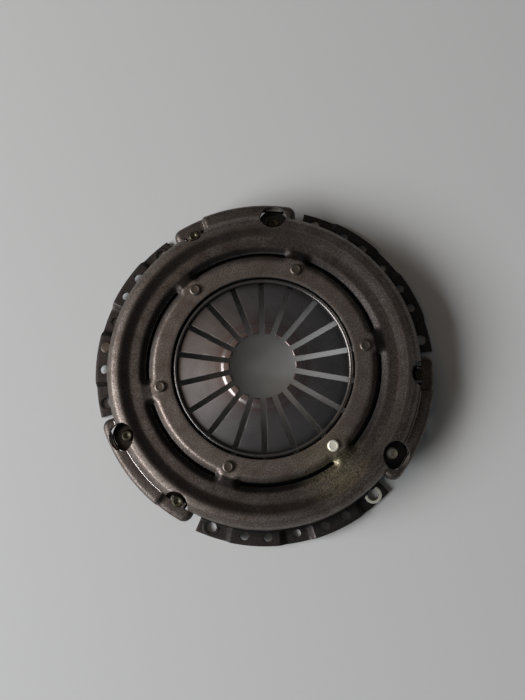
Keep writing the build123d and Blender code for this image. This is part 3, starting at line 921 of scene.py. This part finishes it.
def crescent(angle):
    """What the pad's punch takes from the pad itself: a half disc less a round tongue."""
    def half_moon(bm):
        post(bm, PAD_PUNCH_R, angle, PAD_PUNCH, PAD_Z - SHEET - 1, PAD_Z + 4, 64)

    def tongue(bm):
        post(bm, PAD_R, angle, TONGUE, PAD_Z - SHEET - 3, PAD_Z + 9, 48)

    def outer_half(bm):
        turn = Matrix.Rotation(math.radians(angle), 4, "Z")
        size = Matrix.Diagonal((2 * PAD_PUNCH * MM, 3 * PAD_PUNCH * MM, 30 * MM, 1))
        place = Matrix.Translation(at_polar(PAD_PUNCH_R + PAD_PUNCH, angle, PAD_Z))
        bmesh.ops.create_cube(bm, size=1, matrix=place @ turn @ size)

    moon = punched(half_moon)
    carve(moon, punched(tongue))
    carve(moon, punched(outer_half))
    return moon


# %% [markdown]
# The bowl and the shelves are cut one by one, because the exact solver wants closed pieces
# that don't pass through themselves.

# %% Punch the bowl and the shelves
carve(cover, punched(window_blocks))
carve(cover, punched(flange_posts))
for piece in [cover] + shelves:
    carve(piece, punched(lug_posts))
for sector in range(SECTORS):
    for piece in (cover, shelves[sector]):
        carve(piece, crescent(PAD_AT + SECTOR * sector))
print("cut:", [len(piece.data.polygons) for piece in [cover] + shelves], "faces")

# %% [markdown]
# A punch leaves an edge that is a little rounded and bright, so the edges between skin and
# cut wall are broken by a narrow bevel in the bare-edge material. The shelves are rooted
# inside the bowl's sheet, so joining the meshes then makes one pressing.

# %% Break the punched edges and join the pressing
COVER_EDGE, SPRING_EDGE, SHARP_TURN = 0.3, 0.22, 0.9


def break_edges(piece, width):
    """Round off the edges between a piece's skin and its cut walls."""
    bm = bmesh.new()
    bm.from_mesh(piece.data)
    edges = []
    for edge in bm.edges:
        if len(edge.link_faces) == 2 and edge.calc_face_angle(0) > SHARP_TURN:
            if edge.link_faces[0].material_index != edge.link_faces[1].material_index:
                edges.append(edge)
    rounding = bmesh.ops.bevel(
        bm,
        geom=edges,
        offset=width * MM,
        segments=2,
        profile=0.5,
        affect="EDGES",
        material=-1,
        clamp_overlap=True,
    )
    for face in rounding["faces"]:
        face.material_index = 1
    bm.to_mesh(piece.data)
    bm.free()
    smooth(piece.data)


def join(target, others, name):
    """Put the meshes of several pieces into the first one."""
    bm = bmesh.new()
    bm.from_mesh(target.data)
    for other in others:
        bm.from_mesh(other.data)
        bpy.data.objects.remove(other)
    bm.to_mesh(target.data)
    bm.free()
    target.name = target.data.name = name


for piece in [cover] + shelves:
    break_edges(piece, COVER_EDGE)
join(cover, shelves, "cover_pressing")
smooth(cover.data)
print("cover:", len(cover.data.polygons), "faces")
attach(cover, "cover_assembly")
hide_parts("cover")

# %% [markdown]
# Where a shelf meets the shoulder, the press tool leaves a fine burnished ridge. It mirrors
# the window as a thin bright line on the side that faces it. Each ridge is a round bead,
# turned through two short arcs that stop at the punched openings.

# %% Burnished ridges
RIDGE_R, RIDGE_HALF, RIDGE_ARCS = 125.3, 0.55, ((38.4, 39.7), (50.3, 69.9))

ridge_section = round_section(RIDGE_R, BAND_Z - 0.05, RIDGE_HALF, 12)
for sector in range(SECTORS):
    bm = bmesh.new()
    for first, last in RIDGE_ARCS:
        arc = bmesh.new()
        spin_outline(arc, ridge_section, 40, first + SECTOR * sector, last - first, True)
        bmesh.ops.holes_fill(arc, edges=arc.edges, sides=0)
        pour(arc, bm)
    ridge = finish_mesh(bm, f"shelf_ridge_{sector + 1}")
    give(ridge, burnished_steel)
    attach(ridge, "cover_assembly")
print("ridge:", len(ridge.data.polygons), "faces")

# %% [markdown]
# ## Bolt seats
# Round each bolt hole the flange has a low raised ring that the screw's head bears on.
# One of them still shows its zinc plate.

# %% Bolt seats
SEAT_R, SEAT_LOW_Z, SEAT_TOP_Z, PLATED_SEAT = 6.9, SHEET - 0.5, SHEET + 0.4, 270


def turned(name, outline, spot, finish, steps=48):
    """A piece spun from (radius, height) points in mm about an upright axis at `spot`."""
    bm = bmesh.new()
    spin_outline(bm, outline, steps, closed=outline[0][0] > 0.01)
    bmesh.ops.translate(bm, verts=bm.verts, vec=spot)
    piece = finish_mesh(bm, name)
    give(piece, finish)
    return piece


seat_outline = rounded(
    [(BOLT_HOLE_R, SEAT_LOW_Z), (BOLT_HOLE_R, SEAT_TOP_Z), (SEAT_R, SEAT_TOP_Z), (SEAT_R, SEAT_LOW_Z)],
    [0.25, 0.25],
    30,
    9,
)
for sector in range(SECTORS):
    for away in (BOLT_AT, -BOLT_AT):
        angle = (SECTOR * sector + away) % 360
        finish = zinc_plate if angle == PLATED_SEAT else pressed_steel
        seat = turned(f"bolt_seat_{angle}", seat_outline, at_polar(BOLT_CIRCLE_R, angle), finish)
        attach(seat, "cover_assembly")
print("seat:", len(seat.data.polygons), "faces")

# %% [markdown]
# ## Diaphragm spring
# The spring is a coned disc of even thickness, hung on its pivot just under the cover: the
# fingers rise from there towards the axis, and the rim falls away outside. Each tip turns
# up to a worn crest.

# %% Section of the spring
PIVOT_R, SPRING_R, SPRING_T = 88.0, 105.5, 2.6
TIP_R, TIP_CREST_R, TIP_BEND_R, TIP_STEP = 25.4, 30.2, 32.3, 1.6
PIVOT_Z = WINDOW_Z - SHEET - 0.03
FINGER_RISE, OUTER_FALL = math.tan(math.radians(10.5)), math.tan(math.radians(13))


def spring_top(r):
    """Height of the spring's upper face."""
    slope = -OUTER_FALL if r >= PIVOT_R else -FINGER_RISE
    return PIVOT_Z + (r - PIVOT_R) * slope


TIP_Z = spring_top(TIP_CREST_R) + TIP_STEP
THICK = SPRING_T * math.hypot(1, FINGER_RISE)
spring_outline = rounded(
    [
        (SPRING_R, spring_top(SPRING_R) - THICK / 2),
        (SPRING_R, spring_top(SPRING_R)),
        (PIVOT_R, PIVOT_Z),
        (TIP_BEND_R, spring_top(TIP_BEND_R)),
        (TIP_CREST_R + 0.3, TIP_Z - 0.75),
        (TIP_R + 0.7, TIP_Z),
        (TIP_R, TIP_Z - 0.5),
        (TIP_R, TIP_Z - 0.2 - SPRING_T),
        (TIP_CREST_R + 0.6, TIP_Z - SPRING_T),
        (TIP_BEND_R + 0.8, spring_top(TIP_BEND_R + 0.8) - THICK),
        (PIVOT_R, PIVOT_Z - THICK),
        (SPRING_R, spring_top(SPRING_R) - THICK),
        (SPRING_R, spring_top(SPRING_R) - THICK / 2),
    ],
    [0.5, 5, 1.2, 0.8, 0.8, 0.3, 0.7, 0.5, 2.5, 5, 0.5],
)
print("fingers rise", round(TIP_Z - PIVOT_Z, 1), "mm above the pivot")

# %% [markdown]
# We spin the section, punch eighteen slots that end in round holes, and break their edges a
# little, as tumbling does. When the clutch is released the cone goes nearly flat.

# %% Diaphragm spring
FINGERS, SLOT_W, RIVET_CIRCLE_R, ROOT_HOLE_R = 18, 4.3, 81.65, 5.5
SLOT_FROM_R, SLOT_DEEP = 20, 40
slot_angles = [360 / FINGERS * (k + 0.5) for k in range(FINGERS)]


def slot_blocks(bm):
    """Eighteen straight slots, from the bore out to the rivet circle."""
    for angle in slot_angles:
        long = RIVET_CIRCLE_R - SLOT_FROM_R
        size = Matrix.Diagonal((long * MM, SLOT_W * MM, SLOT_DEEP * MM, 1))
        place = Matrix.Translation(at_polar((RIVET_CIRCLE_R + SLOT_FROM_R) / 2, angle, PIVOT_Z))
        turn = Matrix.Rotation(math.radians(angle), 4, "Z")
        bmesh.ops.create_cube(bm, size=1, matrix=place @ turn @ size)


def root_posts(bm):
    """The round hole at the root of each slot."""
    low, high = PIVOT_Z - SLOT_DEEP / 2, PIVOT_Z + SLOT_DEEP / 2
    for angle in slot_angles:
        post(bm, RIVET_CIRCLE_R, angle, ROOT_HOLE_R, low, high, 40)


spring_bm = bmesh.new()
spin_outline(spring_bm, spring_outline, 288)
spring = finish_mesh(spring_bm, "fingered_spring")
give(spring, spring_steel, sheared_edge)
carve(spring, punched(slot_blocks))
carve(spring, punched(root_posts))
break_edges(spring, SPRING_EDGE)
print("spring:", len(spring.data.polygons), "faces")
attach(spring, "cover_assembly")
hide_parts("diaphragm_spring")
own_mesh(spring)

# %% [markdown]
# ## Wire rings
# The spring tips about two rings of round wire. The upper one shows inside the bore.

# %% Wire rings
for node, wire_r in (("upper_wire_ring", 1.5), ("lower_pivot_ring", 2.0)):
    ring_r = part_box(node)[1][0] / MM - wire_r
    section = round_section(ring_r, middle(node)[2], wire_r, 18)
    print(node, "radius", round(ring_r, 2), "mm")
    ring = turned(node + "_wire", section, Vector((0, 0, 0)), ring_steel, 240)
    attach(ring, "cover_assembly")
    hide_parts(node)

# %% [markdown]
# ## Rivets
# A pivot rivet has a flat head with a rolled edge, a spacer that passes through the
# spring, and a collar under it. The strap rivets have a dimple in their heads. Both are
# turned shapes, so a section and a spin give them.

# %% Sections of the rivets
COLLAR_R, COLLAR_T, SPACER_R, SHANK_R, HEAD_R = 8.2, 2.4, 3.6, 2.7, 4.5
STRAP_HEAD_R, STRAP_SHANK_R = 4.7, 3.0


def pivot_outline(low):
    """Section of a pivot rivet whose collar starts at the height `low`."""
    under = PLATEAU_Z - SHEET
    return rounded(
        [
            (0, low),
            (COLLAR_R, low),
            (COLLAR_R, low + COLLAR_T),
            (SPACER_R, low + COLLAR_T),
            (SPACER_R, under - 2.8),
            (SHANK_R + 0.1, under),
            (SHANK_R, PLATEAU_Z),
            (HEAD_R, PLATEAU_Z),
            (HEAD_R, PLATEAU_Z + 1.9),
            (3.2, PLATEAU_Z + 2.4),
            (2.2, PLATEAU_Z + 2.15),
            (0, PLATEAU_Z + 2.1),
        ],
        [0.5, 0.4, 0, 0, 0, 0, 0.2, 0.9, 0.8, 0.5],
        15,
        4,
    )


def strap_rivet_outline(low, tail, seat, high):
    """Section of a strap rivet: tail below `tail`, head above `seat`."""
    return rounded(
        [
            (0, low),
            (STRAP_HEAD_R, low),
            (STRAP_HEAD_R, tail),
            (STRAP_SHANK_R, tail),
            (STRAP_SHANK_R, seat),
            (STRAP_HEAD_R, seat),
            (STRAP_HEAD_R, high - 1.0),
            (3.4, high),
            (1.9, high - 0.3),
            (0.9, high - 1.0),
            (0, high - 1.1),
        ],
        [0.6, 0.2, 0, 0, 0.2, 0.8, 0.6, 0.5, 0.4],
        15,
        4,
    )


# %% [markdown]
# Each rivet takes its underside, and a strap rivet its whole height, from its CAD node. The
# rivets in the cover ride with it, and those in the lugs ride with the pressure plate.

# %% Rivets
PLATED_PIVOT, PLATED_LUG, TAIL = 4, ("plate", 2), 2.4

for k in range(RIVETS):
    node = f"pivot_rivet_{k + 1}"
    spot = at_polar(RIVET_CIRCLE_R, RIVET_AT + PITCH * k)
    finish = zinc_plate if k == PLATED_PIVOT else rivet_steel
    rivet = turned(f"{node}_turned", pivot_outline(low_z(node)), spot, finish)
    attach(rivet, "cover_assembly")
    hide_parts(node)

STRAP_TOP_Z, STRAP_LOW_Z = high_z("strap_1_leaf_3"), low_z("strap_1_leaf_1")
for sector in range(SECTORS):
    for kind, r, angle, seat_z, body in (
        ("cover", PAD_R, PAD_AT, PAD_Z, "cover_assembly"),
        ("plate", LUG_R, LUG_AT, STRAP_TOP_Z, "plate_assembly"),
    ):
        node = f"strap_{sector + 1}_{kind}_rivet"
        low, high = low_z(node), high_z(node)
        outline = strap_rivet_outline(low, low + TAIL, seat_z, high)
        spot = at_polar(r, angle + SECTOR * sector)
        finish = zinc_plate if (kind, sector) == PLATED_LUG else strap_rivet_shaded_steel
        rivet = turned(f"{node}_turned", outline, spot, finish)
        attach(rivet, body)
        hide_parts(node)
print("rivets:", RIVETS + 2 * SECTORS)

# %% [markdown]
# ## Lug aprons that shade the wells
# Under each strap a dark apron of cast iron closes the well of the punched opening, so that
# no daylight comes up past the lug and the well lies in shade. It is a short cylinder, cut
# flat on the side of the lip so that it can rise and fall inside the raised shelf.

# %% Lug aprons
APRON_R, APRON_REACH, APRON_DEEP, APRON_GAP = 12.9, 132.2, 4.6, 0.4

for sector in range(SECTORS):
    angle = LUG_AT + SECTOR * sector
    bm = bmesh.new()
    # A dark blocker under the lug, which keeps the well of the opening in shade.
    post(bm, LUG_R, angle, APRON_R, STRAP_LOW_Z - APRON_DEEP, STRAP_LOW_Z - APRON_GAP, 64)
    bmesh.ops.bisect_plane(
        bm,
        geom=bm.verts[:] + bm.edges[:] + bm.faces[:],
        plane_co=at_polar(APRON_REACH, angle),
        plane_no=at_polar(1, angle).normalized(),
        clear_outer=True,
    )
    bmesh.ops.holes_fill(bm, edges=bm.edges, sides=0)
    shade_apron = finish_mesh(bm, f"lug_apron_{sector + 1}")
    give(shade_apron, cast_iron)
    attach(shade_apron, "plate_assembly")
print("apron:", len(shade_apron.data.polygons), "faces")

# %% [markdown]
# ## Leaf straps
# Three thin leaves lie on each other between a pad of the cover and a lug of the plate.

# %% Leaf straps
STRAP_HALF, LEAVES, LEAF_PITCH, LEAF_T, LEAF_LIFT = 7.8, 3, 0.6, 0.57, 0.01
END_PARTS, SPAN_PARTS = 12, 24


def leaf_pack(sector):
    """The three leaves of one strap."""
    lug = at_polar(LUG_R, LUG_AT + SECTOR * sector) / MM
    pad = at_polar(PAD_R, PAD_AT + SECTOR * sector) / MM
    along = (pad - lug).normalized()
    across = Vector((-along.y, along.x, 0))
    span = (pad - lug).length
    turns = [math.radians(90 / END_PARTS * k) for k in range(1, END_PARTS + 1)]
    stations = [(-STRAP_HALF * math.cos(t), STRAP_HALF * math.sin(t)) for t in turns]
    stations += [(span * k / SPAN_PARTS, STRAP_HALF) for k in range(1, SPAN_PARTS)]
    stations += [(span + STRAP_HALF * math.cos(t), STRAP_HALF * math.sin(t)) for t in turns[::-1]]
    bm = bmesh.new()
    for layer in range(LEAVES):
        z = STRAP_LOW_Z + LEAF_PITCH * layer + LEAF_LIFT
        rows = []
        for x, half in stations:
            ends = [lug + along * x + across * (side * half) for side in (-1, 1)]
            rows.append([bm.verts.new(Vector((p.x, p.y, z)) * MM) for p in ends])
        strips = [bm.faces.new((a[0], b[0], b[1], a[1])) for a, b in zip(rows, rows[1:])]
        grown = bmesh.ops.extrude_face_region(bm, geom=strips, use_keep_orig=True)["geom"]
        lifted = [g for g in grown if isinstance(g, bmesh.types.BMVert)]
        bmesh.ops.translate(bm, verts=lifted, vec=(0, 0, LEAF_T * MM))
    piece = finish_mesh(bm, f"strap_{sector + 1}_leaves")
    give(piece, strap_steel)
    return piece, lug, pad


for sector in range(SECTORS):
    straps, lug, pad = leaf_pack(sector)
    for layer in range(LEAVES):
        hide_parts(f"strap_{sector + 1}_leaf_{layer + 1}")
    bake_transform(straps)

# %% [markdown]
# ## Finishes on the carried-over nodes
# The casting and the balance rivet are already true as CAD nodes. Every node gets a
# finish of its own here, also those that a smoother piece now stands in for.

# %% Materials for the CAD nodes
node_finish = {
    "cover": pressed_steel,
    "pressure_plate": cast_iron,
    "diaphragm_spring": spring_steel,
    "upper_wire_ring": ring_steel,
    "lower_pivot_ring": ring_steel,
}
for name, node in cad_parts.items():
    small_steel = strap_rivet_shaded_steel if "strap" in name else rivet_steel
    if "leaf" in name:
        small_steel = strap_steel
    node.data.materials.clear()
    give(node, node_finish.get(name, small_steel))
print("nodes dressed:", len(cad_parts))
